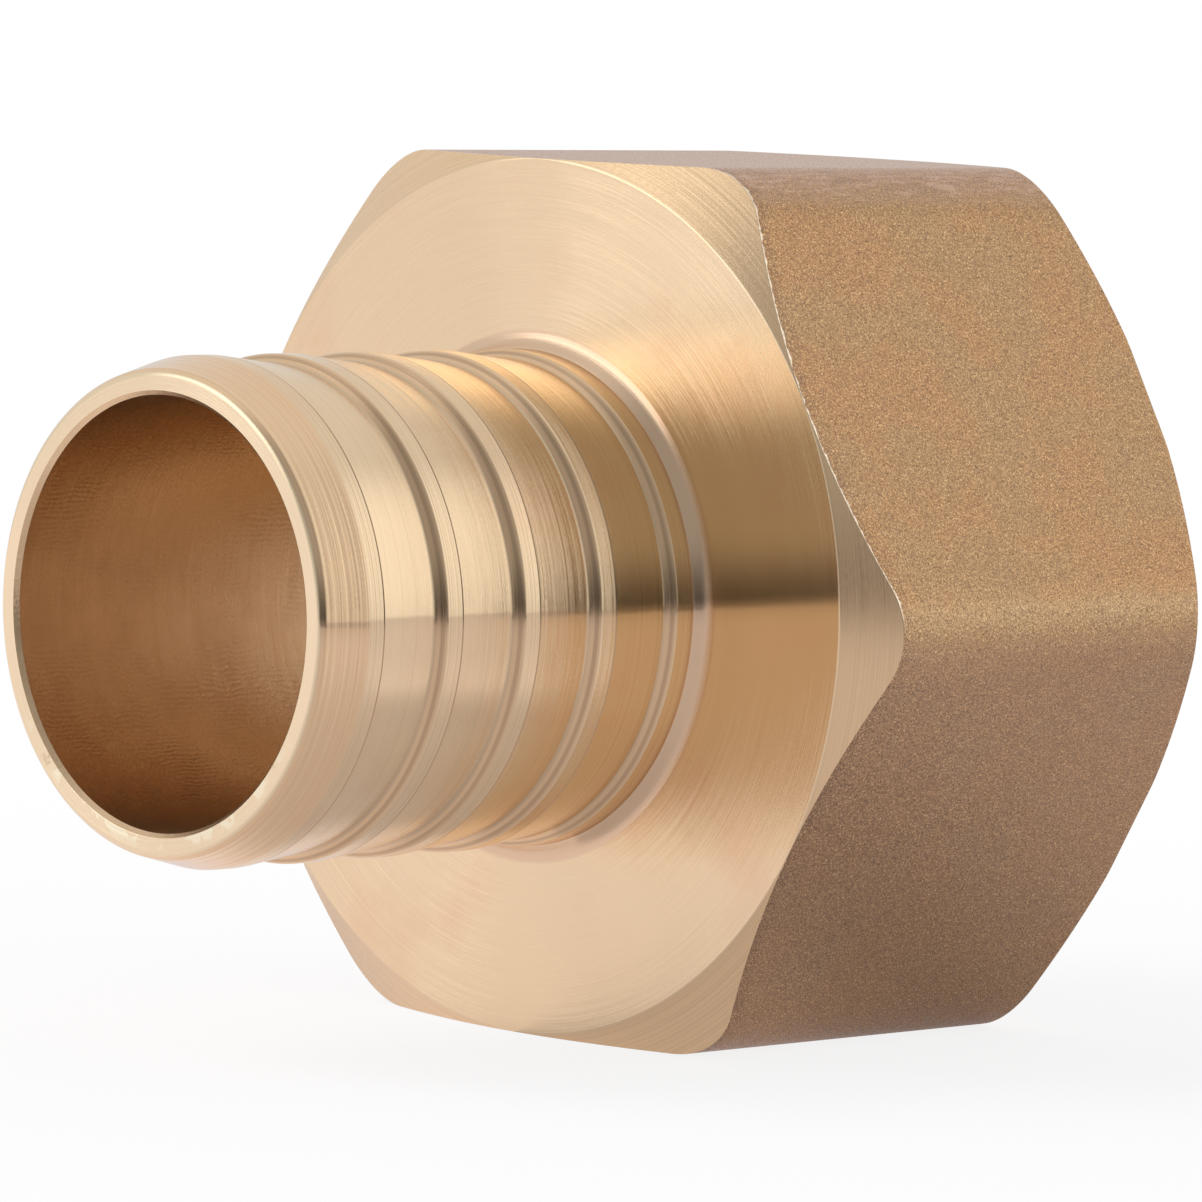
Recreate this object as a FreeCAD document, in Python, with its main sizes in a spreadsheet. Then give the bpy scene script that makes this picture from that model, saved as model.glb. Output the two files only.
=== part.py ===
"""Crimp insert by female pipe thread adapter, turned from one brass forging.

The fitting lies along X, with the origin on its axis in the plane of the shoulder that stops the tube.
The ribbed insert points to -X, the hexagon with the threaded socket to +X. One flat of the hexagon faces
down and one up. Millimetres.
"""
import FreeCAD, Part
import os
import Sketcher
from FreeCAD import Vector

NODE = "adapter_body"
TOUCH = 1e-6

# The driving sizes: name, value, what it measures.
SIZES = (
    ("rib_dia", 21.8, "outside of the crimp ribs"),
    ("insert_wall", 1.65, "wall of the insert at a rib"),
    ("rib_count", 4, "sloped valleys cut in the insert"),
    ("rib_pitch", 4.45, "from one rib to the next"),
    ("rib_land", 0.84, "cylindrical top of a rib"),
    ("valley_depth", 0.41, "depth at the foot of a rib's wall"),
    ("rib_wall_run", 0.37, "how far a rib's wall leans along the axis"),
    ("valley_round", 0.12, "round at the foot of a rib's wall"),
    ("nose_length", 2.2, "lead-in from the tip to the first land"),
    ("nose_drop", 0.75, "radial fall of the lead-in, its edge included"),
    ("nose_edge", 0.23, "broken edge round the tip face"),
    ("nose_land", 0.8, "first land, behind the lead-in"),
    ("collar_length", 0.99, "collar between the last wall and the root cone"),
    ("root_run", 0.46, "length of the cone that joins the collar to the shoulder"),
    ("root_rise", 0.82, "how far that cone climbs the shoulder"),
    ("tip_bevel", 0.2, "bevel at the waterway's mouth"),
    ("across_flats", 38.5, "wrench size of the hexagon"),
    ("hexagon_length", 21.6, "shoulder to the threaded end's face"),
    ("corner_round", 4.15, "forged round along a corner of the hexagon"),
    ("shoulder_bevel", 1.52, "length of the turned bevel on a corner, insert end"),
    ("shoulder_bevel_angle", 32.7, "that bevel's angle from the shoulder's plane"),
    ("mouth_bevel", 1.64, "length of the turned bevel on a corner, threaded end"),
    ("mouth_bevel_angle", 36.4, "that bevel's angle from the end's plane"),
    ("core_dia", 29.4, "hole drilled straight for the tapered pipe thread"),
    ("socket_floor", 2.4, "shoulder to the socket's flat floor"),
    ("countersink", 2.3, "width and depth of the socket's countersink"),
    ("cutter_spare", 1, "how far a turning cut runs out past the metal"),
)

# What follows from them, in the same terms: name, formula.
PLACES = (
    ("rib_radius", "Sizes.rib_dia / 2"),
    ("waterway_radius", "rib_radius - Sizes.insert_wall"),
    ("valley_length", "Sizes.rib_pitch - Sizes.rib_land"),
    ("ribbed_length", "Sizes.rib_count * Sizes.rib_pitch - Sizes.rib_land"),
    (
        "insert_length",
        "Sizes.nose_length + Sizes.nose_land + ribbed_length + Sizes.collar_length + Sizes.root_run",
    ),
    ("root_start", "-Sizes.root_run"),
    ("root_radius", "rib_radius + Sizes.root_rise"),
    ("tip", "-insert_length"),
    ("tip_radius", "rib_radius - Sizes.nose_drop"),
    ("edge_end", "tip + Sizes.nose_edge"),
    ("edge_radius", "tip_radius + Sizes.nose_edge"),
    ("nose_end", "tip + Sizes.nose_length"),
    ("valley_start", "nose_end + Sizes.nose_land"),
    ("valley_end", "valley_start + valley_length"),
    ("valley_foot", "valley_end - Sizes.rib_wall_run"),
    ("foot_radius", "rib_radius - Sizes.valley_depth"),
    ("turning_radius", "rib_radius + Sizes.cutter_spare"),
    ("pattern_length", "(Sizes.rib_count - 1) * Sizes.rib_pitch"),
    ("half_flats", "Sizes.across_flats / 2"),
    ("sharp_corner", "half_flats / cos(30)"),
    ("corner_radius", "(half_flats - Sizes.corner_round) / cos(30) + Sizes.corner_round"),
    ("shoulder_circle", "corner_radius - Sizes.shoulder_bevel / tan(Sizes.shoulder_bevel_angle)"),
    ("mouth_circle", "corner_radius - Sizes.mouth_bevel / tan(Sizes.mouth_bevel_angle)"),
    ("bevel_radius", "corner_radius + Sizes.cutter_spare"),
    ("shoulder_bevel_end", "(bevel_radius - shoulder_circle) * tan(Sizes.shoulder_bevel_angle)"),
    ("mouth", "Sizes.hexagon_length"),
    ("mouth_bevel_start", "mouth - (bevel_radius - mouth_circle) * tan(Sizes.mouth_bevel_angle)"),
    ("core_radius", "Sizes.core_dia / 2"),
    ("floor_end", "Sizes.socket_floor"),
    ("countersink_end", "mouth - Sizes.countersink"),
    ("countersink_radius", "core_radius + Sizes.countersink"),
    ("bevel_end", "tip + Sizes.tip_bevel"),
    ("bevel_mouth", "waterway_radius + Sizes.tip_bevel"),
)


def fill_sheet(doc, name, rows):
    """Make a sheet with one named cell in each row."""
    sheet = doc.addObject("Spreadsheet::Sheet", name)
    for number, (alias, content, *note) in enumerate(rows, start=1):
        sheet.set(f"A{number}", alias)
        sheet.set(f"B{number}", content)
        sheet.setAlias(f"B{number}", alias)
        sheet.set(f"C{number}", " ".join(note))
    doc.recompute()
    return sheet


def origin_part(body, role):
    """Find one of the body's own base planes or axes."""
    return next(o for o in body.Origin.OriginFeatures if o.Role == role)


def new_sketch(body, name, plane):
    """Start a sketch on one of the body's base planes."""
    sketch = body.newObject("Sketcher::SketchObject", name)
    sketch.AttachmentSupport = [(origin_part(body, plane), "")]
    sketch.MapMode = "FlatFace"
    return sketch


def bind(sketch, constraint, formula):
    """Add a dimension and tie it to the sheets."""
    sketch.setExpression(f"Constraints[{sketch.addConstraint(constraint)}]", formula)


def pin_point(sketch, places, line, end, across, up):
    """Hold a line's end at a named distance along the axis and a named radius.

    A name of None stands for a point on the sketch's own axis in that direction.
    """
    if across:
        value = getattr(places, across)
        bind(sketch, Sketcher.Constraint("DistanceX", -1, 1, line, end, value), f"Places.{across}")
    else:
        sketch.addConstraint(Sketcher.Constraint("PointOnObject", line, end, -2))
    if up:
        value = getattr(places, up)
        bind(sketch, Sketcher.Constraint("DistanceY", -1, 1, line, end, value), f"Places.{up}")
    else:
        sketch.addConstraint(Sketcher.Constraint("PointOnObject", line, end, -1))


def add_outline(sketch, places, corners):
    """Draw a closed outline of straight lines through corners given as (place, radius) names."""
    points = [
        Vector(getattr(places, x) if x else 0, getattr(places, r) if r else 0, 0)
        for x, r in corners
    ]
    lines = [
        sketch.addGeometry(Part.LineSegment(start, end))
        for start, end in zip(points, points[1:] + points[:1])
    ]
    for line, following in zip(lines, lines[1:] + lines[:1]):
        sketch.addConstraint(Sketcher.Constraint("Coincident", line, 2, following, 1))
    for line, (x, r) in zip(lines, corners):
        pin_point(sketch, places, line, 1, x, r)


def turn(body, kind, name, sketch):
    """Revolve a half section round the fitting's axis, adding or cutting metal."""
    feature = body.newObject(kind, name)
    feature.Profile = sketch
    feature.ReferenceAxis = (origin_part(body, "X_Axis"), [""])
    feature.Angle = 360
    return feature


def circles_of(feature, radius):
    """Name the feature's round edges of one radius."""
    return [
        f"Edge{number}"
        for number, edge in enumerate(feature.Shape.Edges, start=1)
        if isinstance(edge.Curve, Part.Circle) and abs(edge.Curve.Radius - radius) < TOUCH
    ]


def forge_hexagon(doc, body, places):
    """Forge the hexagonal bar with its rounded corners."""
    sketch = new_sketch(body, "HexagonSection", "YZ_Plane")
    corner = Vector(places.sharp_corner, 0, 0)
    turn_by = FreeCAD.Rotation(Vector(0, 0, 1), 60)
    corners = [corner]
    while len(corners) < 6:
        corners.append(turn_by.multVec(corners[-1]))
    circle = sketch.addGeometry(Part.Circle(Vector(), Vector(0, 0, 1), corner.Length), True)
    sketch.addConstraint(Sketcher.Constraint("Coincident", circle, 3, -1, 1))
    sides = [
        sketch.addGeometry(Part.LineSegment(start, end))
        for start, end in zip(corners, corners[1:] + corners[:1])
    ]
    for side, following in zip(sides, sides[1:] + sides[:1]):
        sketch.addConstraint(Sketcher.Constraint("Coincident", side, 2, following, 1))
        sketch.addConstraint(Sketcher.Constraint("PointOnObject", side, 1, circle))
    for side in sides[1:]:
        sketch.addConstraint(Sketcher.Constraint("Equal", sides[0], side))
    top = sides[1]
    sketch.addConstraint(Sketcher.Constraint("Horizontal", top))
    bind(sketch, Sketcher.Constraint("Distance", -1, 1, top, places.half_flats), "Places.half_flats")

    bar = body.newObject("PartDesign::Pad", "HexagonBar")
    bar.Profile = sketch
    bar.setExpression("Length", "Sizes.hexagon_length")
    doc.recompute()

    rounds = body.newObject("PartDesign::Fillet", "CornerRounds")
    along = [
        f"Edge{number}"
        for number, edge in enumerate(bar.Shape.Edges, start=1)
        if abs(edge.tangentAt(edge.FirstParameter).x) > 0.5
    ]
    rounds.Base = (bar, along)
    rounds.setExpression("Radius", "Sizes.corner_round")


def turn_corners(body, places):
    """Turn both ends of the hexagon, so that a cone takes off its corners."""
    sketch = new_sketch(body, "CornerBevelSection", "XZ_Plane")
    add_outline(
        sketch,
        places,
        ((None, "shoulder_circle"), (None, "bevel_radius"), ("shoulder_bevel_end", "bevel_radius")),
    )
    add_outline(
        sketch,
        places,
        (("mouth", "mouth_circle"), ("mouth", "bevel_radius"), ("mouth_bevel_start", "bevel_radius")),
    )
    turn(body, "PartDesign::Groove", "TurnedCorners", sketch)


def turn_insert(body, places):
    """Turn the plain insert, with its lead-in and the cone at its root."""
    sketch = new_sketch(body, "InsertSection", "XZ_Plane")
    add_outline(
        sketch,
        places,
        (
            ("tip", None),
            ("tip", "tip_radius"),
            ("edge_end", "edge_radius"),
            ("nose_end", "rib_radius"),
            ("root_start", "rib_radius"),
            (None, "root_radius"),
            (None, None),
        ),
    )
    turn(body, "PartDesign::Revolution", "Insert", sketch)


def cut_valleys(doc, body, places):
    """Cut the sloped valleys that leave the crimp ribs.

    Each valley falls as a slight cone from one land towards the hexagon, and ends at a steep wall that
    faces the tip and climbs back to the next land, with the turning tool's small round at its foot.
    """
    sketch = new_sketch(body, "ValleySection", "XZ_Plane")
    add_outline(
        sketch,
        places,
        (
            ("valley_start", "rib_radius"),
            ("valley_foot", "foot_radius"),
            ("valley_end", "rib_radius"),
            ("valley_end", "turning_radius"),
            ("valley_start", "turning_radius"),
        ),
    )
    valley = turn(body, "PartDesign::Groove", "Valley", sketch)
    doc.recompute()

    ribs = body.newObject("PartDesign::LinearPattern", "Ribs")
    ribs.Originals = [valley]
    ribs.Direction = (origin_part(body, "X_Axis"), [""])
    ribs.setExpression("Length", "Places.pattern_length")
    ribs.setExpression("Occurrences", "Sizes.rib_count")
    body.Tip = ribs
    doc.recompute()

    feet = body.newObject("PartDesign::Fillet", "ValleyRounds")
    feet.Base = (ribs, circles_of(ribs, places.foot_radius))
    feet.setExpression("Radius", "Sizes.valley_round")


def bore_through(body, places):
    """Bore the waterway and the countersunk socket that takes the pipe thread."""
    sketch = new_sketch(body, "BoreSection", "XZ_Plane")
    add_outline(
        sketch,
        places,
        (
            ("tip", None),
            ("tip", "bevel_mouth"),
            ("bevel_end", "waterway_radius"),
            ("floor_end", "waterway_radius"),
            ("floor_end", "core_radius"),
            ("countersink_end", "core_radius"),
            ("mouth", "countersink_radius"),
            ("mouth", None),
        ),
    )
    turn(body, "PartDesign::Groove", "Bore", sketch)


def check(doc, body):
    """Stop if any feature failed or the fitting isn't one sound solid."""
    failed = [o.Name for o in doc.Objects if {"Invalid", "Error"} & set(o.State)]
    if failed:
        raise RuntimeError(f"failed features: {', '.join(failed)}")
    for feature in body.Group:
        if feature.Shape.isNull() or not feature.Shape.isValid():
            raise RuntimeError(f"{feature.Name} has no valid shape")
    if len(body.Shape.Solids) != 1:
        raise RuntimeError(f"{body.Label} is {len(body.Shape.Solids)} solids")


def main():
    doc = FreeCAD.newDocument("PipeAdapter")
    fill_sheet(doc, "Sizes", [(alias, str(value), note) for alias, value, note in SIZES])
    places = fill_sheet(doc, "Places", [(alias, f"={formula}") for alias, formula in PLACES])

    body = doc.addObject("PartDesign::Body", "AdapterBody")
    body.Label = NODE
    forge_hexagon(doc, body, places)
    turn_corners(body, places)
    turn_insert(body, places)
    cut_valleys(doc, body, places)
    bore_through(body, places)
    body.Placement = FreeCAD.Placement()
    doc.recompute()
    check(doc, body)

    os.makedirs("parts", exist_ok=True)
    body.Shape.exportStep(f"parts/{NODE}.step")
    print(f"{NODE}: {body.Shape.Volume:.1f} mm3, {len(body.Shape.Faces)} faces")


main()
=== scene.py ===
"""Crimp insert by female pipe thread adapter, dressed as one piece of turned and forged brass.

Lengths are in metres. The fitting lies along X with the origin on its axis in the shoulder's plane, the
ribbed insert towards -X and the threaded socket towards +X.
"""
import math

import bpy
import numpy as np
from mathutils import Matrix, Vector


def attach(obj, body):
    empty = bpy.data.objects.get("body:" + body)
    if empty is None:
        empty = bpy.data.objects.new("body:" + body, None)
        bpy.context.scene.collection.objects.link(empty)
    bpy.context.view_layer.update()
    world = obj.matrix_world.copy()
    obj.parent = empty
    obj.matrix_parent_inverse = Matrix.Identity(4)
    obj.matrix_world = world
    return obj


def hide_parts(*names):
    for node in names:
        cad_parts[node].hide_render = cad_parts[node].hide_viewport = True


bl_info = {
    "name": "Crimp by Pipe Thread Adapter",
    "version": (1, 0, 0),
    "blender": (4, 5, 0),
    "location": "View3D > Sidebar > Adapter",
    "description": "Turned and forged brass adapter with a ribbed insert and a threaded socket",
    "category": "Object",
}

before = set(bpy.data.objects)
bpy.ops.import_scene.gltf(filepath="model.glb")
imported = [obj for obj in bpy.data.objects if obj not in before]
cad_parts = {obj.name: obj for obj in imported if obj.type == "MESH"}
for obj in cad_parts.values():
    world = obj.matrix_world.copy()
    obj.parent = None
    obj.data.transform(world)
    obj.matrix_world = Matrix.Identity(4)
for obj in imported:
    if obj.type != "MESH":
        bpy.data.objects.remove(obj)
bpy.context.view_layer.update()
MM = 0.001
WHITE = (1.0, 1.0, 1.0, 1.0)

# The turned insert, by its place along the axis and its radii.
TIP = -21.41 * MM
TIP_RADIUS = 10.15 * MM
TIP_EDGE = 0.23 * MM
NOSE_END = -19.21 * MM
FIRST_LAND = 0.8 * MM
VALLEY_LENGTH = 3.61 * MM
VALLEY_DEPTH = 0.41 * MM
RIB_WALL_RUN = 0.37 * MM
TIP_BEVEL = 0.2 * MM
ROOT_RUN = 0.46 * MM
ROOT_RISE = 0.48 * MM
ROOT_RING = 11.7 * MM
SCORE_WIDTH = 0.07 * MM
SCORE_DEPTH = 0.035 * MM

# The hexagon and its turned corners.
CORNER_ROUND = 4.15 * MM
SHOULDER_CIRCLE = 19.218 * MM
SHOULDER_EDGE = 0.2 * MM
SHOULDER_BEVEL_ANGLE = math.radians(32.7)
MOUTH = 21.6 * MM
MOUTH_CIRCLE = 19.361 * MM
MOUTH_BEVEL_ANGLE = math.radians(36.4)
LEAST_BEVEL = 0.05 * MM

# The socket. Two narrow strips of its wall, at the floor and the mouth, belong to the body's rows.
SOCKET_FLOOR = 2.4 * MM
FLOOR_ROUND = 0.2 * MM
FLOOR_STRIP = 0.3 * MM
CORE_RADIUS = 14.7 * MM
COUNTERSINK = 2.3 * MM
MOUTH_STRIP = 0.15 * MM
THREAD_PITCH = 25.4 * MM / 11.5
THREAD_TAPER = 1 / 32
THREAD_HEIGHT = 0.8 * THREAD_PITCH
PITCH_RADIUS_AT_MOUTH = 15.73 * MM
THREAD_START = 3.1 * MM
THREAD_LEAD = 3.4 * MM
LEAD_RISE = 1.9 * MM
THREAD_BLEND = 0.05 * MM

# How finely the surfaces are divided.
FLAT_COLUMNS = 30
CORNER_COLUMNS = 18
ROWS_A_PITCH = 12
LONGEST_ROW = 3.5 * MM
MOST_OF_A_SPAN = 0.48
WIDE_ROUND = 0.4 * MM
WIDE_BENDS = 8
NARROW_BENDS = 4
WELD_STEP = 0.001 * MM

# Each finish's material slot on the shell.
SLOT_OF_FINISH = {"turned": 0, "skin": 1, "bored": 2, "socket": 3}

# The camera that was fitted to the photograph.
CAMERA_PLACE = Vector((-248.80, -262.77, 30.39)) * MM
CAMERA_FORWARD = Vector((0.6916, 0.7174, -0.0839))
CAMERA_UP = Vector((0.0350, 0.0827, 0.9960))
CAMERA_LENS = 247.74
SENSOR_WIDTH = 36
TOWARD_CAMERA = (-0.694, -0.720, 0.0)

# The lamp above and behind the fitting, and the pale floor.
LAMP_PLACE = Vector((-0.5, 0.45, 0.6))
LAMP_SIZE = 0.5
LAMP_POWER = 4.2
FLOOR_REACH = 8.0
FLOOR_SIDES = 96

# The studio's open end, where it is dark: its middle, its darkest place on the horizon, and how dark.
STUDIO_LEVEL = 0.78
OPEN_END = (-0.70, -0.55, 0.454)
OPEN_END_DEPTH = 0.38
DARK_HORIZON = (-0.574, -0.819, 0.0)
HORIZON_DEPTH = 0.31
# The two soft lights beside the fitting: direction, inner and outer half angle in degrees, gain.
SOFT_LIGHTS = (
    ((0.76, -0.56, 0.33), 8, 34, 0.34),
    ((-0.735, 0.55, 0.397), 10, 22, 0.95),
)


def length(name, about, default):
    """A length that the sidebar shows in the scene's own unit."""
    return bpy.props.FloatProperty(
        name=name, description=about, default=default, min=0, unit="LENGTH", precision=5
    )


def colour(name, about, default):
    """A colour, as linear red, green and blue."""
    return bpy.props.FloatVectorProperty(
        name=name, description=about, default=default, min=0, max=1, size=3, subtype="COLOR"
    )


class AdapterSizes(bpy.types.PropertyGroup):
    rib_radius: length("Rib Radius", "Outside of the crimp ribs", 10.9 * MM)
    bore_radius: length("Bore Radius", "Waterway through the insert", 9.25 * MM)
    half_flats: length("Half Across Flats", "Axis to a flat of the hexagon", 19.25 * MM)
    rib_pitch: length("Rib Pitch", "From one rib to the next", 4.45 * MM)
    rib_count: bpy.props.IntProperty(
        name="Ribs", description="Sloped valleys in the insert", default=4, min=1
    )
    root_round: length("Root Round", "Round that runs the root cone out into the shoulder", 0.8 * MM)
    crest_round: length("Crest Round", "Round at the crest of a rib's wall", 0.18 * MM)
    foot_round: length("Foot Round", "Round at the foot of a rib's wall", 0.3 * MM)
    edge_round: length("Edge Round", "Break on the turned edges", 0.045 * MM)


class AdapterFinish(bpy.types.PropertyGroup):
    brass: colour("Brass", "What the turned brass reflects", (0.88, 0.67, 0.44))
    skin: colour("Forging Skin", "What the blasted forging reflects", (0.5, 0.277, 0.135))
    bored: colour("Bored Brass", "What the drilled waterway reflects", (0.82, 0.59, 0.37))
    floor: colour("Floor", "The pale floor", (0.90, 0.86, 0.88))


def section_angles():
    """Angles round the axis, from 0 to a full turn, a sector to each flat of the hexagon.

    A sector is the flat, in equal steps between the two lines where the corner rounds leave it, and the
    corner after it in finer steps. Two of the flats face up and down, so sectors are centred on 30 degrees,
    90 and so on.
    """
    half = bpy.context.scene.adapter_sizes.half_flats
    centre = (half - CORNER_ROUND) / math.cos(math.radians(30))
    tangent = math.atan2(centre / 2, half)
    flat = np.linspace(-tangent, tangent, FLAT_COLUMNS, endpoint=False)
    corner = np.linspace(tangent, math.radians(60) - tangent, CORNER_COLUMNS, endpoint=False)
    sector = np.concatenate([flat, corner])
    return np.concatenate([sector + math.radians(30 + 60 * k) for k in range(6)])


def hexagon(theta):
    """Radius of the rounded hexagon at each angle, and the outward normal of its section there.

    With a the angle from the nearest flat's middle, a flat is at half_flats / cos(a). Near a corner the
    radius runs to the far side of a circle centred on the corner's bisector, c cos(b) + sqrt(R^2 - c^2
    sin^2(b)), with b the angle from that bisector, and the normal points away from the circle's centre.
    """
    half = bpy.context.scene.adapter_sizes.half_flats
    sixth = math.radians(60)
    flat_at = np.floor(theta / sixth) * sixth + sixth / 2
    off_flat = theta - flat_at
    centre = (half - CORNER_ROUND) / math.cos(sixth / 2)
    corner_at = flat_at + np.sign(off_flat) * sixth / 2
    off_corner = theta - corner_at
    on_flat = np.abs(off_flat) <= math.atan2(centre / 2, half) + 1e-9
    reach = np.sqrt(np.maximum(CORNER_ROUND**2 - (centre * np.sin(off_corner)) ** 2, 0))
    radius = np.where(on_flat, half / np.cos(off_flat), centre * np.cos(off_corner) + reach)
    across = np.stack([np.cos(theta), np.sin(theta)]) * radius
    from_centre = across - centre * np.stack([np.cos(corner_at), np.sin(corner_at)])
    normal = np.where(on_flat, np.stack([np.cos(flat_at), np.sin(flat_at)]), from_centre / CORNER_ROUND)
    return radius, normal


def outline(theta):
    """Corners of the half section at each angle, from the socket's mouth round the outside to its floor.

    Each corner is its place along the axis, its radius, its round and the finish of the straight span that
    follows it. A bevelled corner of the hexagon lies where the bevel's cone meets the section: as far past
    the turned circle's plane as the section stands out of that circle, times the tangent of the bevel's
    angle. The score at the start of each valley is a small V.
    """
    sizes = bpy.context.scene.adapter_sizes
    rib, bore, edge = sizes.rib_radius, sizes.bore_radius, sizes.edge_round
    hexagon_radius, _ = hexagon(theta)
    mouth_circle = np.minimum(MOUTH_CIRCLE, hexagon_radius - LEAST_BEVEL)
    mouth_corner = MOUTH - (hexagon_radius - mouth_circle) * math.tan(MOUTH_BEVEL_ANGLE)
    shoulder_corner = (hexagon_radius - SHOULDER_CIRCLE) * math.tan(SHOULDER_BEVEL_ANGLE)
    corners = [
        (MOUTH - MOUTH_STRIP, CORE_RADIUS + COUNTERSINK - MOUTH_STRIP, 0, "socket"),
        (MOUTH, CORE_RADIUS + COUNTERSINK, edge, "turned"),
        (MOUTH, mouth_circle, edge, "turned"),
        (mouth_corner, hexagon_radius, edge, "skin"),
        (shoulder_corner, hexagon_radius, edge, "turned"),
        (0, SHOULDER_CIRCLE, SHOULDER_EDGE, "turned"),
        (0, rib + ROOT_RISE, sizes.root_round, "turned"),
        (-ROOT_RUN, rib, edge, "turned"),
    ]
    wall_end = NOSE_END + FIRST_LAND + VALLEY_LENGTH + (sizes.rib_count - 1) * sizes.rib_pitch
    for _ in range(sizes.rib_count):
        valley_start = wall_end - VALLEY_LENGTH
        corners += [
            (wall_end, rib, sizes.crest_round, "turned"),
            (wall_end - RIB_WALL_RUN, rib - VALLEY_DEPTH, sizes.foot_round, "turned"),
            (valley_start + SCORE_WIDTH, rib - SCORE_DEPTH / 4, 0, "turned"),
            (valley_start + SCORE_WIDTH / 2, rib - SCORE_DEPTH, 0, "turned"),
            (valley_start, rib, 0, "turned"),
        ]
        wall_end -= sizes.rib_pitch
    corners += [
        (NOSE_END, rib, edge, "turned"),
        (TIP + TIP_EDGE, TIP_RADIUS + TIP_EDGE, sizes.foot_round, "turned"),
        (TIP, TIP_RADIUS, sizes.foot_round, "turned"),
        (TIP, bore + TIP_BEVEL, edge, "bored"),
        (TIP + TIP_BEVEL, bore, edge, "bored"),
        (SOCKET_FLOOR, bore, edge, "socket"),
        (SOCKET_FLOOR, CORE_RADIUS, FLOOR_ROUND, "socket"),
        (SOCKET_FLOOR + FLOOR_STRIP, CORE_RADIUS, 0, "socket"),
    ]
    return corners


def body_grid(theta):
    """Points, normals and finishes of the body outside the thread, as rows round the axis.

    Every span is straight in the half section and every corner an arc tangent to both its spans. A point of
    the half section at (x, r) stands at (x, r cos, r sin). A turned span's normal is its own perpendicular
    carried round the axis, a flat's is the hexagon's, and an arc's turns from one to the other.
    """
    ones = np.ones_like(theta)
    along_axis, radii, rounds, finishes = zip(*outline(theta))
    place = np.stack([np.stack([x * ones, r * ones]) for x, r in zip(along_axis, radii)])
    step = np.diff(place, axis=0)
    reach = np.linalg.norm(step, axis=1)
    along = step / reach[:, None]
    _, section_normal = hexagon(theta)
    out = np.stack([np.cos(theta), np.sin(theta)])

    def span_normal(span):
        if finishes[span] == "skin":
            return np.stack([0 * ones, section_normal[0], section_normal[1]], axis=1)
        x, r = along[span]
        return np.stack([r, -x * out[0], -x * out[1]], axis=1)

    normals = [span_normal(span) for span in range(len(along))]
    rows, row_normals, row_finishes = [place[0]], [normals[0]], []

    def add(point, normal, finish):
        rows.append(point)
        row_normals.append(normal / np.linalg.norm(normal, axis=1)[:, None])
        row_finishes.append(SLOT_OF_FINISH[finish])

    for span in range(len(along)):
        start = rows[-1]
        last = span == len(along) - 1
        corner = place[span + 1]
        if last:
            cut = 0 * ones
        else:
            turn = np.arccos(np.clip((along[span] * along[span + 1]).sum(axis=0), -1, 1))
            room = MOST_OF_A_SPAN * np.minimum(reach[span], reach[span + 1])
            cut = np.minimum(rounds[span + 1] * np.tan(turn / 2), room)
        end = corner - along[span] * cut
        pieces = max(1, math.ceil(float(reach[span].max()) / LONGEST_ROW))
        for piece in range(1, pieces + 1):
            share = piece / pieces
            add(start + (end - start) * share, normals[span], finishes[span])
        if last:
            break
        arc_radius = cut / np.tan(turn / 2)
        bends = WIDE_BENDS if rounds[span + 1] > WIDE_ROUND else NARROW_BENDS
        side = np.sign(along[span][0] * along[span + 1][1] - along[span][1] * along[span + 1][0])
        inward = np.stack([-along[span][1], along[span][0]]) * side
        for bend in range(1, bends + 1):
            angle = turn * bend / bends
            point = end + along[span] * arc_radius * np.sin(angle) + inward * arc_radius * (1 - np.cos(angle))
            share = bend / bends
            normal = normals[span] * (1 - share) + normals[span + 1] * share
            nearer = finishes[span] if share <= 0.5 else finishes[span + 1]
            add(point, normal, nearer)
    rows = np.stack(rows)
    points = np.stack([rows[:, 0], rows[:, 1] * out[0], rows[:, 1] * out[1]], axis=2)
    return points, np.stack(row_normals), np.array(row_finishes)


def soft_max(a, b, blend):
    """The larger of two lengths, with the kink between them rounded over the blend's width."""
    return (a + b + np.sqrt((a - b) ** 2 + blend**2)) / 2


def socket_radius(x, theta):
    """Radius of the threaded socket's wall at a place along the axis and an angle round it.

    The wall is the widest of three cuts: the straight drilled core, the countersink's cone, and the tapered
    thread. The thread is a V of 60 degrees whose tips are cut off, a triangle wave of x less the helix's
    advance at that angle, held between its tapering crest and root, and fading out on the tap's lead.
    """
    phase = x / THREAD_PITCH - theta / (2 * math.pi)
    off_groove = np.abs(phase - np.floor(phase) - 0.5) * 2
    sharp = math.cos(math.radians(30)) * THREAD_PITCH
    middle = PITCH_RADIUS_AT_MOUTH - (MOUTH - x) * THREAD_TAPER
    wave = np.clip(sharp * (0.5 - off_groove), -THREAD_HEIGHT / 2, THREAD_HEIGHT / 2)
    lead = CORE_RADIUS + (x - THREAD_START) * (LEAD_RISE / THREAD_LEAD)
    groove = np.minimum(middle + wave, lead)
    cone = CORE_RADIUS + COUNTERSINK + x - MOUTH
    return soft_max(soft_max(groove, CORE_RADIUS, THREAD_BLEND), cone, THREAD_BLEND)


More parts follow.
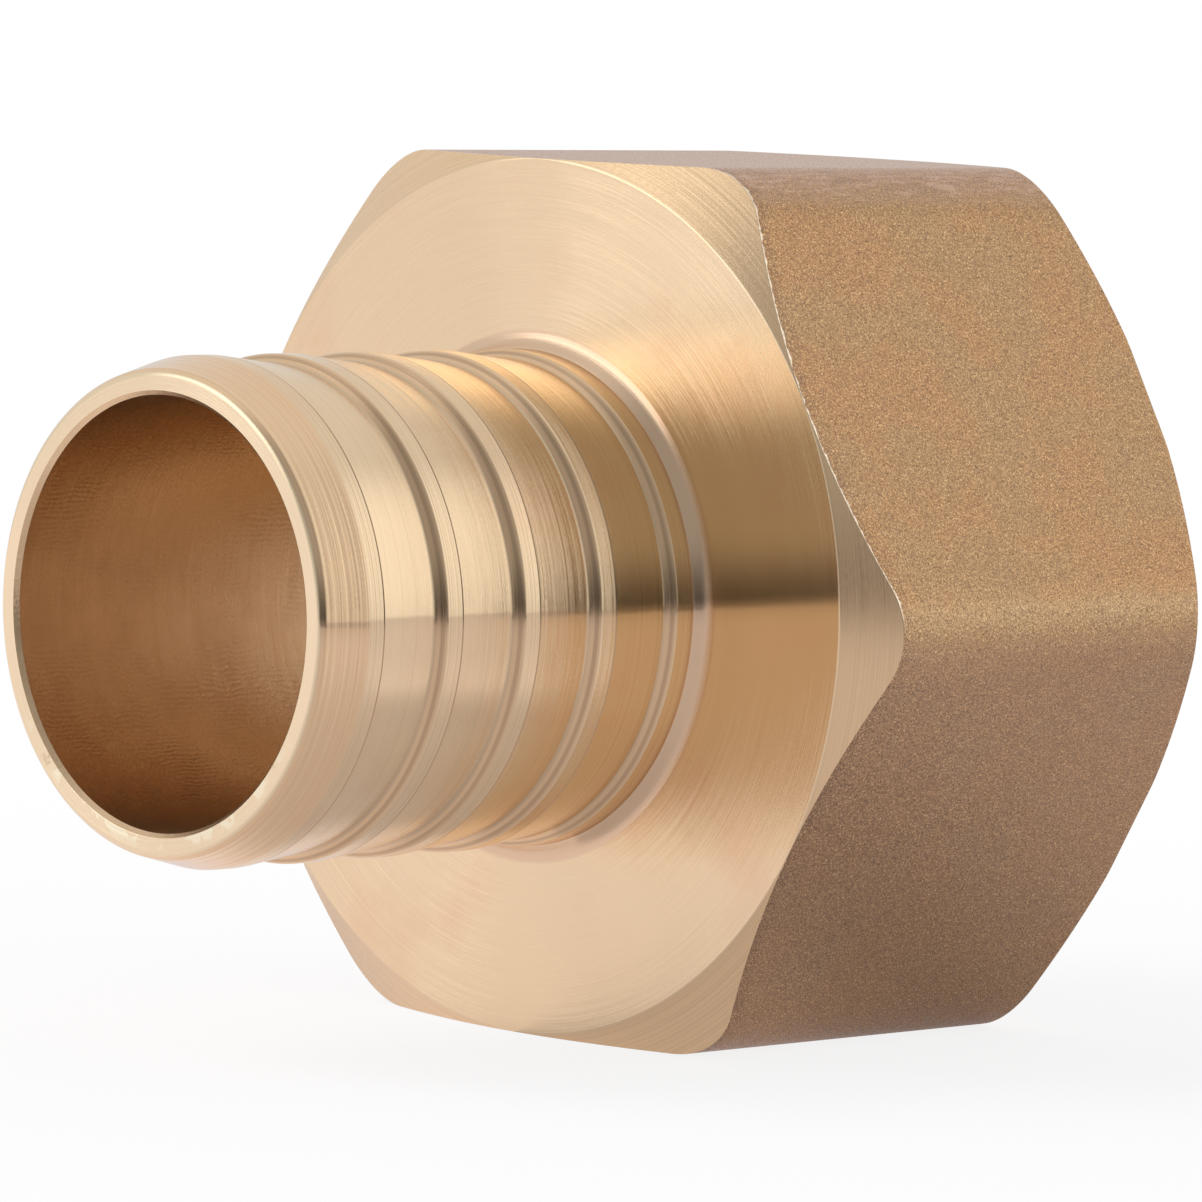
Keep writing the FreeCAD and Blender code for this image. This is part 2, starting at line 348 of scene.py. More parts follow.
def socket_grid(theta):
    """Points and normals of the socket's wall, on rows that climb with the thread.

    Row i at column j stands i + k j / n row steps along the axis, with k rows to a pitch and n columns, held
    between the wall's two ends, so that after a full turn row i meets row i + k. The normal is the wall's
    slope along the axis and round it, pointing to the axis.
    """
    low, high = SOCKET_FLOOR + FLOOR_STRIP, MOUTH - MOUTH_STRIP
    step = THREAD_PITCH / ROWS_A_PITCH
    count = math.ceil((high - low) / step)
    rows = np.arange(-ROWS_A_PITCH, count + 1)
    place = low + (rows[:, None] + ROWS_A_PITCH * theta / (2 * math.pi)) * step
    x = np.clip(place, low, high)
    wide = np.broadcast_to(theta, x.shape)
    radius = socket_radius(x, wide)
    radius = np.where(x <= low, CORE_RADIUS, radius)
    radius = np.where(x >= high, CORE_RADIUS + COUNTERSINK - MOUTH_STRIP, radius)
    near = 0.03 * MM
    along = (socket_radius(x + near, wide) - socket_radius(x - near, wide)) / (2 * near)
    turn = near / CORE_RADIUS
    around = (socket_radius(x, wide + turn) - socket_radius(x, wide - turn)) / (2 * near)
    along = np.where(x <= low, 0, np.where(x >= high, 1, along))
    around = np.where((x <= low) | (x >= high), 0, around)
    c, s = np.cos(wide), np.sin(wide)
    points = np.stack([x, radius * c, radius * s], axis=2)
    normals = np.stack([along, -c - around * s, -s + around * c], axis=2)
    return points, normals / np.linalg.norm(normals, axis=2)[..., None]


def grid_faces(rows, columns, shift=0):
    """Quads of a grid closed round its columns, whose last column meets the first a shift of rows up.

    Also returns which quads are whole, because a shifted grid has none at its two ragged ends.
    """
    index = np.arange(rows * columns).reshape(rows, columns)
    there = np.roll(index, -1, axis=1)
    if shift:
        there[:-shift, -1] = index[shift:, 0]
        there[-shift:, -1] = -1
    quads = np.stack([index[:-1], index[1:], there[1:], there[:-1]], axis=2).reshape(-1, 4)
    return quads, (quads >= 0).all(axis=1)


def weld(points, quads, normals, slots):
    """Join points that coincide and drop quads that shrank to nothing.

    Points are matched on a lattice of WELD_STEP. A quad that kept three different corners becomes a
    triangle. Each face corner keeps the normal of the point it had before.
    """
    keys = np.round(points / WELD_STEP).astype(np.int64)
    _, first, joined = np.unique(keys, axis=0, return_index=True, return_inverse=True)
    joined = joined.reshape(-1)
    faces, corner_normals, face_slots = [], [], []
    merged = joined[quads]
    same = merged == np.roll(merged, -1, axis=1)
    whole = ~same.any(axis=1)
    for corners in (4, 3):
        if corners == 4:
            keep = np.nonzero(whole)[0]
            pick = np.tile(np.arange(4), (len(keep), 1))
        else:
            keep = np.nonzero(same.sum(axis=1) == 1)[0]
            gone = same[keep].argmax(axis=1)
            pick = (gone[:, None] + np.array([1, 2, 3])) % 4
        faces.append(np.take_along_axis(merged[keep], pick, axis=1))
        corner_normals.append(normals[np.take_along_axis(quads[keep], pick, axis=1)].reshape(-1, 3))
        face_slots.append(slots[keep])
    return points[first], faces, np.concatenate(corner_normals), np.concatenate(face_slots)


def make_mesh(name, points, faces, corner_normals, slots):
    """Put points, faces of four and of three corners, and each face corner's normal into a mesh."""
    mesh = bpy.data.meshes.new(name)
    listed = [face for group in faces for face in group.tolist()]
    mesh.from_pydata(points.tolist(), [], listed)
    mesh.polygons.foreach_set("material_index", slots.astype(np.int32))
    mesh.polygons.foreach_set("use_smooth", np.ones(len(mesh.polygons), bool))
    mesh.normals_split_custom_set(corner_normals)
    mesh.update()
    return mesh


def adapter_mesh():
    """The whole closed skin of the adapter: the body's rows, then the socket's, joined at their rims.

    The socket's rows are worked out from angle 0, where the helix closes, and then turned onto the body's
    first column.
    """
    theta = section_angles()
    points, normals, finishes = body_grid(theta)
    rows, columns = points.shape[:2]
    quads, _ = grid_faces(rows, columns)
    slots = np.repeat(finishes, columns)
    wall, wall_normals = socket_grid(theta - theta[0])
    turn = theta[0]
    c, s = math.cos(turn), math.sin(turn)
    spin = np.array([[1, 0, 0], [0, c, s], [0, -s, c]])
    wall, wall_normals = wall @ spin, wall_normals @ spin
    wall_quads, kept = grid_faces(*wall.shape[:2], shift=ROWS_A_PITCH)
    wall_quads = wall_quads[kept] + rows * columns
    wall_slots = np.full(len(wall_quads), SLOT_OF_FINISH["socket"])
    return make_mesh(
        "adapter_shell",
        *weld(
            np.concatenate([points.reshape(-1, 3), wall.reshape(-1, 3)]),
            np.concatenate([quads, wall_quads]),
            np.concatenate([normals.reshape(-1, 3), wall_normals.reshape(-1, 3)]),
            np.concatenate([slots, wall_slots]),
        ),
    )


class Wire:
    """A node's output that takes part in Python expressions; each operator adds its Math node."""

    def __init__(self, graph, socket):
        self.graph = graph
        self.socket = socket

    def __add__(self, other):
        return self.graph.math("ADD", self, other)

    def __radd__(self, other):
        return self.graph.math("ADD", other, self)

    def __sub__(self, other):
        return self.graph.math("SUBTRACT", self, other)

    def __rsub__(self, other):
        return self.graph.math("SUBTRACT", other, self)

    def __mul__(self, other):
        return self.graph.math("MULTIPLY", self, other)

    def __rmul__(self, other):
        return self.graph.math("MULTIPLY", other, self)

    def __truediv__(self, other):
        return self.graph.math("DIVIDE", self, other)


class Graph:
    """The nodes of one material or world."""

    def __init__(self, owner):
        owner.use_nodes = True
        self.tree = owner.node_tree
        self.tree.nodes.clear()

    def add(self, kind, settings=None, sockets=None, out=0):
        """Add a node: its settings first, then each socket's value or link. Returns one output, if any."""
        node = self.tree.nodes.new(kind)
        for key, value in (settings or {}).items():
            setattr(node, key, value)
        for key, value in (sockets or {}).items():
            if isinstance(value, Wire):
                self.tree.links.new(value.socket, node.inputs[key])
            else:
                node.inputs[key].default_value = value
        return Wire(self, node.outputs[out]) if node.outputs else node

    def math(self, operation, *terms):
        """Add a Math node."""
        return self.add("ShaderNodeMath", {"operation": operation}, dict(enumerate(terms)))

    def vector(self, operation, *terms, out=0):
        """Add a Vector Math node."""
        return self.add("ShaderNodeVectorMath", {"operation": operation}, dict(enumerate(terms)), out)

    def scaled(self, vector, factor):
        """Add a Vector Math node that stretches a vector."""
        return self.add("ShaderNodeVectorMath", {"operation": "SCALE"}, {"Vector": vector, "Scale": factor})

    def part(self, vector, axis):
        """Add a Separate XYZ node for one part of a vector."""
        return self.add("ShaderNodeSeparateXYZ", None, {0: vector}, out=axis)

    def noise(self, place, scale, detail, out=0):
        """Add a Noise Texture node, with so many grains to the metre."""
        return self.add("ShaderNodeTexNoise", None, {"Vector": place, "Scale": scale, "Detail": detail}, out)

    def smooth(self, value, low, high):
        """Add a Map Range node that eases from 0 to 1 between two values."""
        return self.add(
            "ShaderNodeMapRange",
            {"interpolation_type": "SMOOTHSTEP"},
            {"Value": value, "From Min": low, "From Max": high},
        )

    def mix(self, share, under, over):
        """Add a Mix node for colours."""
        return self.add("ShaderNodeMix", {"data_type": "RGBA"}, {0: share, 6: under, 7: over}, out=2)

    def layered(self, tint, *layers):
        """Lay colours over a tint, one after the other, each given as its share and its shade."""
        for share, shade in layers:
            tint = self.mix(share, tint, rgba(shade))
        return tint


def rgba(shade):
    return (*shade, 1.0)


class Turning:
    """Object coordinates of a turned part, taken apart as its maker's lathe sees them."""

    def __init__(self, graph):
        self.graph = graph
        self.point = graph.add("ShaderNodeTexCoord", out="Object")
        self.x, self.y, self.z = (graph.part(self.point, axis) for axis in range(3))
        across = graph.vector("MULTIPLY", self.point, (0, 1, 1))
        self.radius = graph.vector("LENGTH", across, out="Value")
        self.out = graph.vector("NORMALIZE", across)
        self.round = graph.vector("CROSS_PRODUCT", (1, 0, 0), self.out)

    def marks(self, finest, drift, detail=3.0, roughness=0.6):
        """Noise that changes across the tool's marks and hardly along them, from 0 to 1.

        It reads the place in the half section, measured in the finest mark's width, and the direction
        from the axis, so that a mark changes slowly round the part and meets itself after a turn.
        """
        graph = self.graph
        aside, upward = (graph.part(self.out, axis) * drift for axis in (1, 2))
        sockets = {0: self.x / finest, 1: self.radius / finest, 2: aside}
        place = graph.add("ShaderNodeCombineXYZ", None, sockets)
        return graph.add(
            "ShaderNodeTexNoise",
            {"noise_dimensions": "4D"},
            {"Vector": place, "W": upward, "Scale": 1.0, "Detail": detail, "Roughness": roughness},
        )

    def tilted_normal(self, tilt, lean=0.0):
        """The surface's normal, tilting across the marks and leaning along them by varying amounts."""
        normal = self.graph.add("ShaderNodeNewGeometry", out="Normal")
        across = self.graph.vector("CROSS_PRODUCT", normal, self.round)
        normal = self.graph.vector("ADD", normal, self.graph.scaled(across, tilt))
        normal = self.graph.vector("ADD", normal, self.graph.scaled(self.round, lean))
        return self.graph.vector("NORMALIZE", normal)


def new_material(name):
    material = bpy.data.materials.new(name)
    return material, Graph(material)


def finish_metal(graph, tint, roughness, normal, edge_tint=WHITE):
    """Close a metal: what varies is linked and what doesn't is set on the shader."""
    shader = graph.add(
        "ShaderNodeBsdfPrincipled",
        None,
        {
            "Base Color": tint,
            "Roughness": roughness,
            "Normal": normal,
            "Metallic": 1.0,
            "Specular Tint": edge_tint,
        },
    )
    graph.add("ShaderNodeOutputMaterial", None, {"Surface": shader})


class TurnedPlaces:
    """Where on the fitting a turned surface lies: each mask is 1 there and 0 elsewhere.

    A rib's steep wall is known by how far its normal leans back along the axis. past_start is the way from
    the first valley's start along the axis, and down_valley its share of a rib's pitch, from 0 to 1.
    """

    def __init__(self, graph, lathe):
        self.graph = graph
        self.pitch = bpy.context.scene.adapter_sizes.rib_pitch
        slope = graph.part(graph.add("ShaderNodeNewGeometry", out="Normal"), 0)
        past_insert = graph.smooth(lathe.x, -ROOT_RUN - 0.04 * MM, -ROOT_RUN)
        self.insert = graph.smooth(lathe.x, -ROOT_RUN, -ROOT_RUN - 0.2 * MM)
        self.nose = graph.smooth(lathe.x, NOSE_END + 0.02 * MM, NOSE_END - 0.02 * MM)
        self.face = graph.smooth(lathe.x, TIP + 0.12 * MM, TIP + 0.04 * MM)
        self.bevel = graph.smooth(lathe.radius, SHOULDER_CIRCLE, SHOULDER_CIRCLE + 0.1 * MM)
        self.wall = graph.smooth(slope, -0.3, -0.6) * self.insert * (1 - self.nose)
        self.root = past_insert * graph.smooth(lathe.radius, ROOT_RING + 0.1 * MM, ROOT_RING - 0.1 * MM)
        self.rib = self.insert * (1 - self.nose) * (1 - self.wall)
        self.past_start = lathe.x - (NOSE_END + FIRST_LAND)
        self.down_valley = graph.math("FRACT", self.past_start / self.pitch)

    def ring_line(self, place, width):
        """A line that each rib has once, at a place past its valley's start: 1 on it, 0 its width away."""
        turns = (self.past_start - place) / self.pitch
        return self.graph.smooth(self.graph.math("PINGPONG", turns, 0.5) * self.pitch, width, width / 3)


# What lies over the turned brass: shades as linear red, green and blue.
BRASS_STAIN = (0.86, 0.61, 0.40)
NOSE_SHADE = (0.91, 0.59, 0.35)
NOSE_BRIGHT_MARK = (0.97, 0.77, 0.5)
NOSE_DARK_MARK = (0.68, 0.47, 0.32)
TIP_FACE_SHADE = (0.92, 0.755, 0.52)
# Painted highlight on a few dents low on the tip's face; DENT_DARK below is their real dark marks.
DENT_PAINTED_HIGHLIGHT = (1.0, 0.93, 0.7)
DENT_DARK = (0.35, 0.24, 0.13)
BEVEL_SHADE = (0.94, 0.66, 0.395)
BEVEL_DARK_MARK = (0.42, 0.29, 0.2)
# Painted shade on the root's cone, in the crease between the insert and the shoulder.
ROOT_PAINTED_SHADE = (0.78, 0.55, 0.38)
VALLEY_STREAK = (0.6, 0.4, 0.22)
# Painted shade on the steep rib walls.
RIB_WALL_PAINTED_SHADE = (0.80, 0.54, 0.33)
# Painted dark lines of shade at each rib's score, near its crest and at its foot.
PAINTED_SHADE_LINE = (0.3, 0.2, 0.12)
FINEST_MARK = 0.0015 * MM


def turned_tint(graph, lathe, at, coarse):
    """Colour of the turned brass, from its own shade to the thin painted lines of shade on the ribs.

    The nose, the tip's face and the bevels each have their shade, and the root's cone and the rib walls get
    painted shade. The valleys get streakier towards their foot, a few dents low on the tip's face get a
    painted highlight and dark marks, and each rib has a painted dark line of shade at its score, its crest
    and its foot.
    """
    stain = graph.noise(lathe.point, 160.0, 3.0)
    dent = graph.noise(lathe.point, 1 / (1.1 * MM), 3.0)
    dented = at.face * graph.smooth(lathe.z, -4 * MM, -7 * MM)
    dented = dented * graph.smooth(lathe.radius, TIP_RADIUS - 0.1 * MM, TIP_RADIUS - 0.5 * MM)
    streak = at.rib * graph.smooth(coarse, 0.52, 0.34)
    # Where each rib gets a painted dark line of shade: its score, near its crest and at its foot.
    score = at.ring_line(SCORE_WIDTH / 2, SCORE_WIDTH)
    crest = at.ring_line(VALLEY_LENGTH - 0.14 * MM, 0.09 * MM)
    foot = at.ring_line(VALLEY_LENGTH - RIB_WALL_RUN - 0.05 * MM, 0.12 * MM)
    lines = score * 0.35 + crest * (0.2 + coarse * 0.4) + foot * (0.1 + coarse * 0.4)
    return graph.layered(
        rgba(bpy.context.scene.adapter_finish.brass),
        (graph.smooth(stain, 0.5, 0.75), BRASS_STAIN),
        (at.nose * 0.6, NOSE_SHADE),
        (at.nose * graph.smooth(coarse, 0.5, 0.64) * 0.4, NOSE_BRIGHT_MARK),
        (at.nose * graph.smooth(coarse, 0.5, 0.36) * 0.25, NOSE_DARK_MARK),
        (at.face * 0.85, TIP_FACE_SHADE),
        # Painted highlight on the dents, then their real dark marks.
        (dented * graph.smooth(dent, 0.5, 0.56) * 0.7, DENT_PAINTED_HIGHLIGHT),
        (dented * graph.smooth(dent, 0.37, 0.3) * 0.5, DENT_DARK),
        (at.bevel * 0.8, BEVEL_SHADE),
        # Painted shade in the root's crease.
        (at.root * 0.8, ROOT_PAINTED_SHADE),
        (at.bevel * graph.smooth(coarse, 0.56, 0.4) * 0.16, BEVEL_DARK_MARK),
        (streak * (0.12 + graph.smooth(at.down_valley, 0.1, 0.7) * 0.3), VALLEY_STREAK),
        # Painted shade on the rib walls.
        (at.wall * 0.8, RIB_WALL_PAINTED_SHADE),
        # Painted dark lines of shade on the ribs.
        (lines * at.insert * (1 - at.nose), PAINTED_SHADE_LINE),
    )


def turned_brass():
    """Brass fresh off the lathe: sharp along the marks and spread across them.

    The finest marks tilt the normal at random, which spreads what it mirrors, and the coarse ones add their
    own streaks, stronger down the valleys and on the nose, the bevels, the rib walls and the root's cone.
    On the ribs the finest marks spread less, and all lean a little towards the tip.
    """
    material, graph = new_material("turned_brass")
    lathe = Turning(graph)
    at = TurnedPlaces(graph, lathe)
    fine = lathe.marks(FINEST_MARK, 2.0, detail=1.0, roughness=0.5)
    coarse = lathe.marks(0.09 * MM, 0.12)
    rough = at.insert * (0.12 + graph.smooth(at.down_valley, 0.15, 0.8) * 0.25 + at.nose * 0.25)
    rough = rough + (at.bevel + at.wall + at.root) * 0.4
    tilt = (fine - 0.5) * (1.25 - at.rib * 0.35) + (coarse - 0.5) * (0.1 + rough) - at.rib * 0.1
    roughness = 0.045 + coarse * 0.04 + at.wall * 0.06 + at.bevel * 0.13
    finish_metal(graph, turned_tint(graph, lathe, at, coarse), roughness, lathe.tilted_normal(tilt))
    return material


# What lies over the forging's skin, and how the skin dulls what it mirrors at a slant.
SKIN_CLOUD = (0.465, 0.285, 0.148)
# Painted sheen on what faces up.
UPPER_PAINTED_SHEEN = (0.62, 0.39, 0.27)
# Painted shade on what faces down.
UNDERSIDE_PAINTED_SHADE = (0.43, 0.28, 0.195)
UPPER_BRIGHT_STREAK = (0.85, 0.6, 0.48)
UPPER_DARK_STREAK = (0.4, 0.25, 0.17)
# Painted highlight on the side corners.
SIDE_CORNER_PAINTED_HIGHLIGHT = (0.6, 0.42, 0.24)
MOTTLE_SHADE = (0.31, 0.195, 0.12)
BRIGHT_GRAIN = (0.82, 0.545, 0.285)
DARK_GRAIN = (0.25, 0.15, 0.085)
DARK_EDGE = (0.26, 0.16, 0.1)
# A real broken burr along the bevel, painted as a pale highlight.
BURR_PAINTED_HIGHLIGHT = (0.95, 0.8, 0.62)
SLANT_SHADE = (0.95, 0.87, 0.84)


def skin_tint(graph, lathe, normal):
    """Colour of the forging's skin, from its own shade to the burr along the turned bevel.

    What faces up gets a paler, pinker painted sheen, and what faces down a greyer painted shade. The rounded
    corners are known by the cosine of six times the normal's angle round the axis, which is -1 on every flat
    and 1 on every corner. The upper ones are streaked along the bar inside the painted sheen, and the side
    ones get a paler painted highlight. Clouds, mottles and bright and dark grains lie over all, with a darker
    edge and a broken burr along the shoulder's bevel, painted as a pale highlight where it faces up.
    """
    aside, height = (graph.part(normal, axis) for axis in (1, 2))
    corner = graph.smooth(graph.math("COSINE", graph.math("ARCTAN2", height, aside) * 6), -0.9, 0.5)
    upper = graph.smooth(height, 0.55, 0.85)
    drawn = graph.vector("MULTIPLY", lathe.point, (0.2, 1, 1))
    streak = graph.noise(drawn, 1 / (0.3 * MM), 3.0)
    clouds = graph.noise(lathe.point, 260.0, 4.0)
    mottle = graph.noise(lathe.point, 1 / (0.5 * MM), 5.0)
    speck = graph.noise(lathe.point, 1 / (0.07 * MM), 2.0)
    broken = graph.noise(lathe.point, 1 / (0.45 * MM), 2.0)
    past_bevel = lathe.x - (lathe.radius - SHOULDER_CIRCLE) * math.tan(SHOULDER_BEVEL_ANGLE)
    edge = graph.smooth(past_bevel, 0.9 * MM, 0.1 * MM) * graph.smooth(speck, 0.62, 0.4)
    burr = graph.smooth(past_bevel + (broken - 0.5) * (0.35 * MM), 0.1 * MM, 0.05 * MM)
    return graph.layered(
        rgba(bpy.context.scene.adapter_finish.skin),
        (graph.smooth(clouds, 0.4, 0.65), SKIN_CLOUD),
        # Painted sheen on what faces up, paler and pinker.
        (upper * 0.6, UPPER_PAINTED_SHEEN),
        # Painted shade on what faces down, greyer.
        (graph.smooth(height, 0.02, -0.25) * 0.5, UNDERSIDE_PAINTED_SHADE),
        # Streaks along the bar on the upper corners, drawn only there, inside the painted sheen.
        (upper * corner * graph.smooth(streak, 0.45, 0.7) * 0.6, UPPER_BRIGHT_STREAK),
        (upper * corner * graph.smooth(streak, 0.5, 0.3) * 0.5, UPPER_DARK_STREAK),
        # Painted highlight on the side corners, paler.
        (corner * graph.smooth(height, -0.4, 0.15) * (1 - upper) * 0.5, SIDE_CORNER_PAINTED_HIGHLIGHT),
        (graph.smooth(mottle, 0.48, 0.7) * 0.25, MOTTLE_SHADE),
        (graph.smooth(speck, 0.52, 0.72), BRIGHT_GRAIN),
        (graph.smooth(speck, 0.5, 0.28) * 0.85, DARK_GRAIN),
        (edge * 0.5, DARK_EDGE),
        # The burr, painted as a pale highlight only where it faces up.
        (burr * graph.smooth(height, 0.0, 0.4), BURR_PAINTED_HIGHLIGHT),
    )


def forged_skin():
    """The hexagon's flats: a blasted forging, whose fine grain jolts the normal and so sparkles."""
    material, graph = new_material("forged_skin")
    lathe = Turning(graph)
    normal = graph.add("ShaderNodeNewGeometry", out="Normal")
    tint = skin_tint(graph, lathe, normal)
    grain = graph.noise(lathe.point, 1 / (0.11 * MM), 2.0, out="Color")
    jolt = graph.scaled(graph.vector("SUBTRACT", grain, (0.5, 0.5, 0.5)), 1.5)
    normal = graph.vector("NORMALIZE", graph.vector("ADD", normal, jolt))
    finish_metal(graph, tint, 0.23, normal, rgba(SLANT_SHADE))
    return material


# The waterway and the thread: shades of their stains, and the chatter's waves to a turn.
BORE_STAIN = (0.74, 0.52, 0.32)
THREAD_STAIN = (0.80, 0.58, 0.35)
CHATTER_WAVES = 240
CHATTER_WANDER = 14.0


def bored_brass():
    """The drilled waterway: duller than the turning, with faint wavy chatter that runs along the bore.

    The chatter leans the normal round the axis by a cosine of the angle, a whole number of waves to the
    turn, whose phase wanders and whose strength comes and goes.
    """
    material, graph = new_material("bored_brass")
    lathe = Turning(graph)
    fine = lathe.marks(FINEST_MARK, 3.0, detail=1.0)
    coarse = lathe.marks(0.1 * MM, 2.0)
    clouds = graph.noise(lathe.point, 300.0, 3.0)
    wander = graph.noise(lathe.point, 900.0, 2.0)
    grain = graph.noise(lathe.point, 1 / (0.09 * MM), 1.0)
    phase = graph.math("ARCTAN2", lathe.z, lathe.y) * CHATTER_WAVES + wander * CHATTER_WANDER
    chatter = graph.math("COSINE", phase) * graph.smooth(clouds, 0.42, 0.62)
    tilt = (fine - 0.5) * 0.45 + (coarse - 0.5) * 0.08
    normal = lathe.tilted_normal(tilt, chatter * 0.05 + (grain - 0.5) * 0.35)
    bored = rgba(bpy.context.scene.adapter_finish.bored)
    tint = graph.layered(bored, (graph.smooth(clouds, 0.4, 0.7), BORE_STAIN))
    finish_metal(graph, tint, 0.3, normal)
    return material


def threaded_brass():
    """The socket: cut brass, a little duller than the turned faces."""
    material, graph = new_material("threaded_brass")
    lathe = Turning(graph)
    fine = lathe.marks(0.06 * MM, 3.0, detail=2.0)
    brass = rgba(bpy.context.scene.adapter_finish.brass)
    tint = graph.layered(brass, (graph.smooth(fine, 0.3, 0.8), THREAD_STAIN))
    finish_metal(graph, tint, 0.22 + fine * 0.06, lathe.tilted_normal((fine - 0.5) * 0.4))
    return material


def aim(ob, place, forward, up):
    """Put a lamp or camera at a place, looking along forward."""
    forward = forward.normalized()
    right = forward.cross(up).normalized()
    turn = Matrix((right, right.cross(forward), -forward)).transposed()
    ob.matrix_world = Matrix.Translation(place) @ turn.to_4x4()


def add_camera():
    camera = bpy.data.objects.new("camera", bpy.data.cameras.new("camera"))
    camera.data.lens = CAMERA_LENS
    camera.data.sensor_width = SENSOR_WIDTH
    camera.data.clip_end = 20
    bpy.context.scene.collection.objects.link(camera)
    aim(camera, CAMERA_PLACE, CAMERA_FORWARD, CAMERA_UP)
    bpy.context.scene.camera = camera


def add_lamp():
    """A square soft lamp that looks at the fitting, and that the brass doesn't mirror."""
    data = bpy.data.lights.new("top_lamp", "AREA")
    data.size = LAMP_SIZE
    data.energy = LAMP_POWER
    lamp = bpy.data.objects.new("top_lamp", data)
    bpy.context.scene.collection.objects.link(lamp)
    aim(lamp, LAMP_PLACE, -LAMP_PLACE, Vector((0, 0, 1)))
    lamp.visible_glossy = False


def studio_level(graph, way):
    """Brightness of the studio in each direction: pale walls, a light at each side and a dark open end."""
    flat = graph.vector("NORMALIZE", graph.vector("MULTIPLY", way, (1, 1, 0)))
    toward = graph.vector("DOT_PRODUCT", flat, DARK_HORIZON, out="Value")
    low = graph.smooth(graph.part(way, 2), 0.4, 0.0)
    open_end = graph.smooth(graph.vector("DOT_PRODUCT", way, OPEN_END, out="Value"), 0.43, 0.87)
    dark = open_end * OPEN_END_DEPTH + graph.smooth(toward, 0.6, 1.0) * low * HORIZON_DEPTH
    level = STUDIO_LEVEL - dark
    for light, inner, outer, gain in SOFT_LIGHTS:
        near = graph.vector("DOT_PRODUCT", way, light, out="Value")
        rim, heart = (math.cos(math.radians(half_angle)) for half_angle in (outer, inner))
        level = level + graph.smooth(near, rim, heart) * gain
    return level


def light_world(scene):
    """White to the camera; to everything else, a pale studio that is dark behind the camera."""
    world = bpy.data.worlds.new("studio")
    scene.world = world
    graph = Graph(world)
    way = graph.add("ShaderNodeTexCoord", out="Generated")
    ray = graph.add("ShaderNodeLightPath", out="Is Camera Ray")
    shade = graph.mix(ray, studio_level(graph, way), WHITE)
    back = graph.add("ShaderNodeBackground", None, {"Color": shade, "Strength": 1.0})
    graph.add("ShaderNodeOutputWorld", None, {"Surface": back})


def pale_floor():
    """White to the camera but for the fitting's shadow; to the brass it glows, with painted shade on its
    tone.

    The brass sees painted shade on it towards the camera, less so further out, and two patches of painted
    shadow: beside the hexagon, and on beyond the shoulder. Away from the fitting it glows, so that no edge of
    it shows.
    """
    material, graph = new_material("pale_floor")
    place = graph.vector("MULTIPLY", graph.add("ShaderNodeTexCoord", out="Object"), (1, 1, 0))
    away = graph.vector("LENGTH", place, out="Value")
    toward = graph.vector("DOT_PRODUCT", graph.vector("NORMALIZE", place), TOWARD_CAMERA, out="Value")
    along = graph.part(place, 0)
    # Painted shadow of the hexagon on the floor beside it, and painted shade on beyond the shoulder; only the
    # brass sees them.
    beside = graph.smooth(along, -5 * MM, 15 * MM) * graph.smooth(away, 42 * MM, 20 * MM)
    near = 0.31 + graph.smooth(away, 0.1, 0.35) * 0.1 + graph.smooth(away, 0.4, 0.6) * 0.35
    beyond = graph.smooth(along, 12 * MM, 35 * MM)
    # Painted shade on the floor, in the tone that glossy rays see.
    dark = graph.smooth(toward, 0.3, 1.0) * near + beside * 0.42 + beyond * 0.15
    glossy = graph.add("ShaderNodeLightPath", out="Is Glossy Ray")
    camera = graph.add("ShaderNodeLightPath", out="Is Camera Ray")
    tone = graph.mix(dark * glossy, rgba(bpy.context.scene.adapter_finish.floor), (0, 0, 0, 1))
    lit = graph.add("ShaderNodeBsdfDiffuse", None, {"Color": tone})
    shade = graph.mix(camera, tone, WHITE)
    white = graph.add("ShaderNodeEmission", None, {"Color": shade, "Strength": 1.0})
    share = camera * (0.85 + graph.smooth(away, 0.03, 0.12) * 0.15) + glossy * 0.7
    both = graph.add("ShaderNodeMixShader", None, {0: share, 1: lit, 2: white})
    graph.add("ShaderNodeOutputMaterial", None, {"Surface": both})
    return material


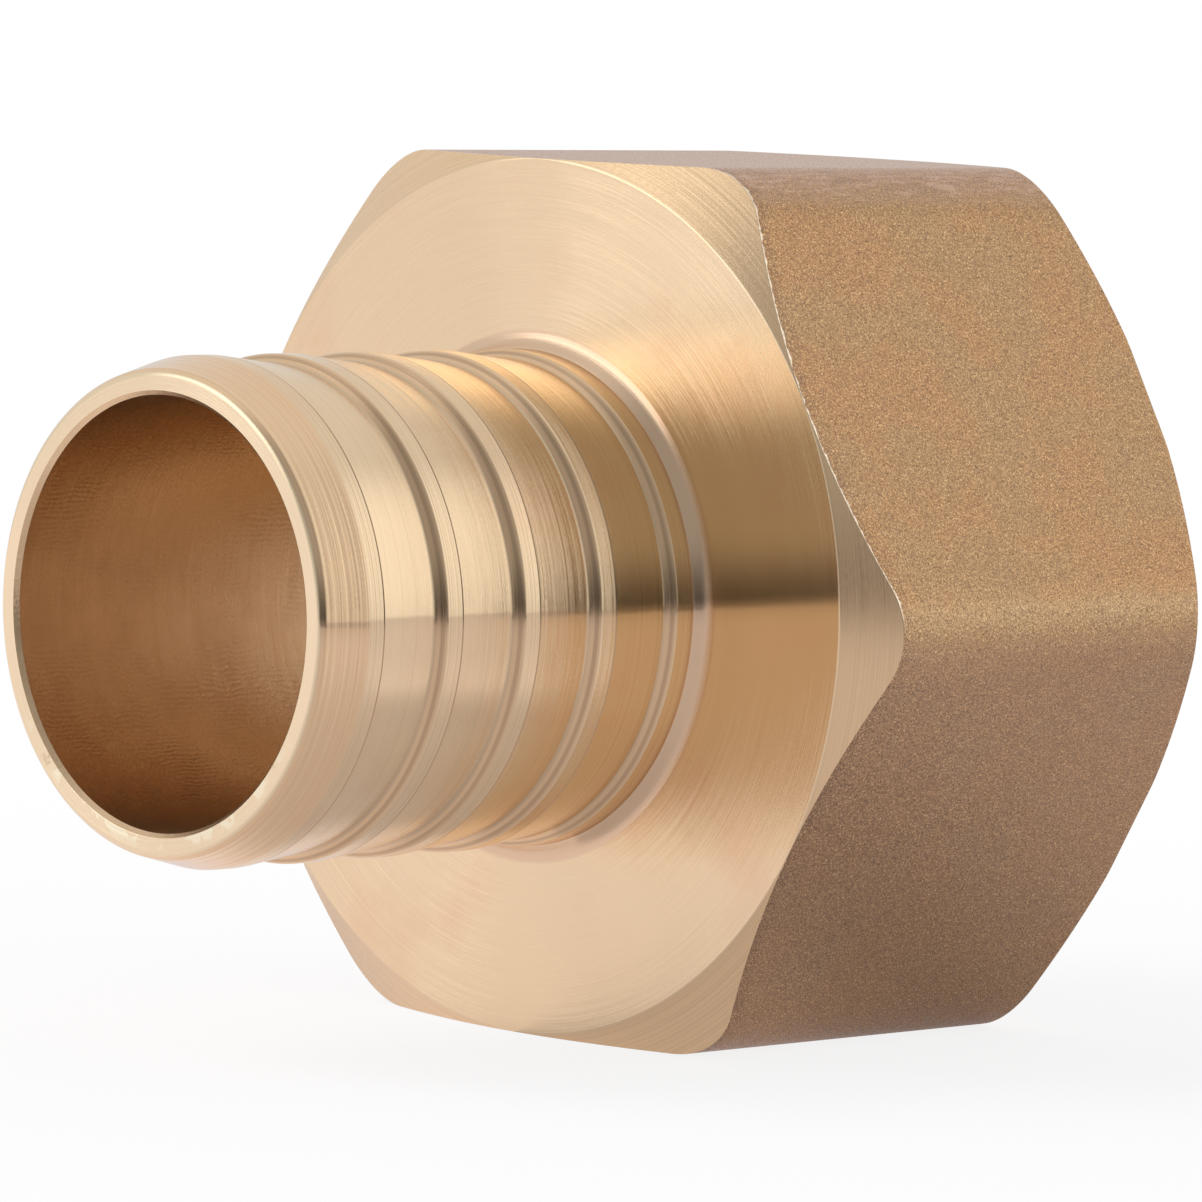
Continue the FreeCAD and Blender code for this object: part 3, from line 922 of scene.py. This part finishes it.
def add_floor():
    """A round floor under the hexagon's lower flat, out past the camera's horizon."""
    turn = np.linspace(0, 2 * math.pi, FLOOR_SIDES, endpoint=False)
    height = 0 * turn - bpy.context.scene.adapter_sizes.half_flats
    rim = np.stack([FLOOR_REACH * np.cos(turn), FLOOR_REACH * np.sin(turn), height], axis=1)
    mesh = bpy.data.meshes.new("floor")
    mesh.from_pydata(rim.tolist(), [], [list(range(len(rim)))])
    mesh.materials.append(pale_floor())
    floor = bpy.data.objects.new("floor", mesh)
    bpy.context.scene.collection.objects.link(floor)


class MakeAdapter(bpy.types.Operator):
    """Make the adapter's turned, forged and threaded surface in place of its plain solid"""

    bl_idname = "object.make_adapter"
    bl_label = "Adapter"

    def execute(self, context):
        mesh = adapter_mesh()
        for make in (turned_brass, forged_skin, bored_brass, threaded_brass):
            mesh.materials.append(make())
        shell = bpy.data.objects.new("adapter_shell", mesh)
        context.scene.collection.objects.link(shell)
        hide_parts("adapter_body")
        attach(shell, "root")
        return {"FINISHED"}


class MakeStage(bpy.types.Operator):
    """Make the camera, the pale floor, the lamp and the studio round the adapter"""

    bl_idname = "object.make_adapter_stage"
    bl_label = "Stage"

    def execute(self, context):
        context.scene.view_settings.view_transform = "Standard"
        add_camera()
        add_floor()
        light_world(context.scene)
        add_lamp()
        return {"FINISHED"}


class AdapterPanel(bpy.types.Panel):
    """Sizes, finishes and the buttons that make the adapter and its stage"""

    bl_idname = "VIEW3D_PT_adapter"
    bl_label = "Adapter"
    bl_space_type = "VIEW_3D"
    bl_region_type = "UI"
    bl_category = "Adapter"

    def draw(self, context):
        for group in (context.scene.adapter_sizes, context.scene.adapter_finish):
            for name in group.__annotations__:
                self.layout.prop(group, name)
        for operator in OPERATORS:
            self.layout.operator(operator.bl_idname)


OPERATORS = (MakeStage, MakeAdapter)
CLASSES = (AdapterSizes, AdapterFinish, *OPERATORS, AdapterPanel)


def register():
    for cls in CLASSES:
        bpy.utils.register_class(cls)
    bpy.types.Scene.adapter_sizes = bpy.props.PointerProperty(type=AdapterSizes)
    bpy.types.Scene.adapter_finish = bpy.props.PointerProperty(type=AdapterFinish)


def unregister():
    del bpy.types.Scene.adapter_finish
    del bpy.types.Scene.adapter_sizes
    for cls in reversed(CLASSES):
        bpy.utils.unregister_class(cls)


def main():
    register()
    bpy.ops.object.make_adapter_stage()
    bpy.ops.object.make_adapter()


if __name__ == "__main__":
    main()
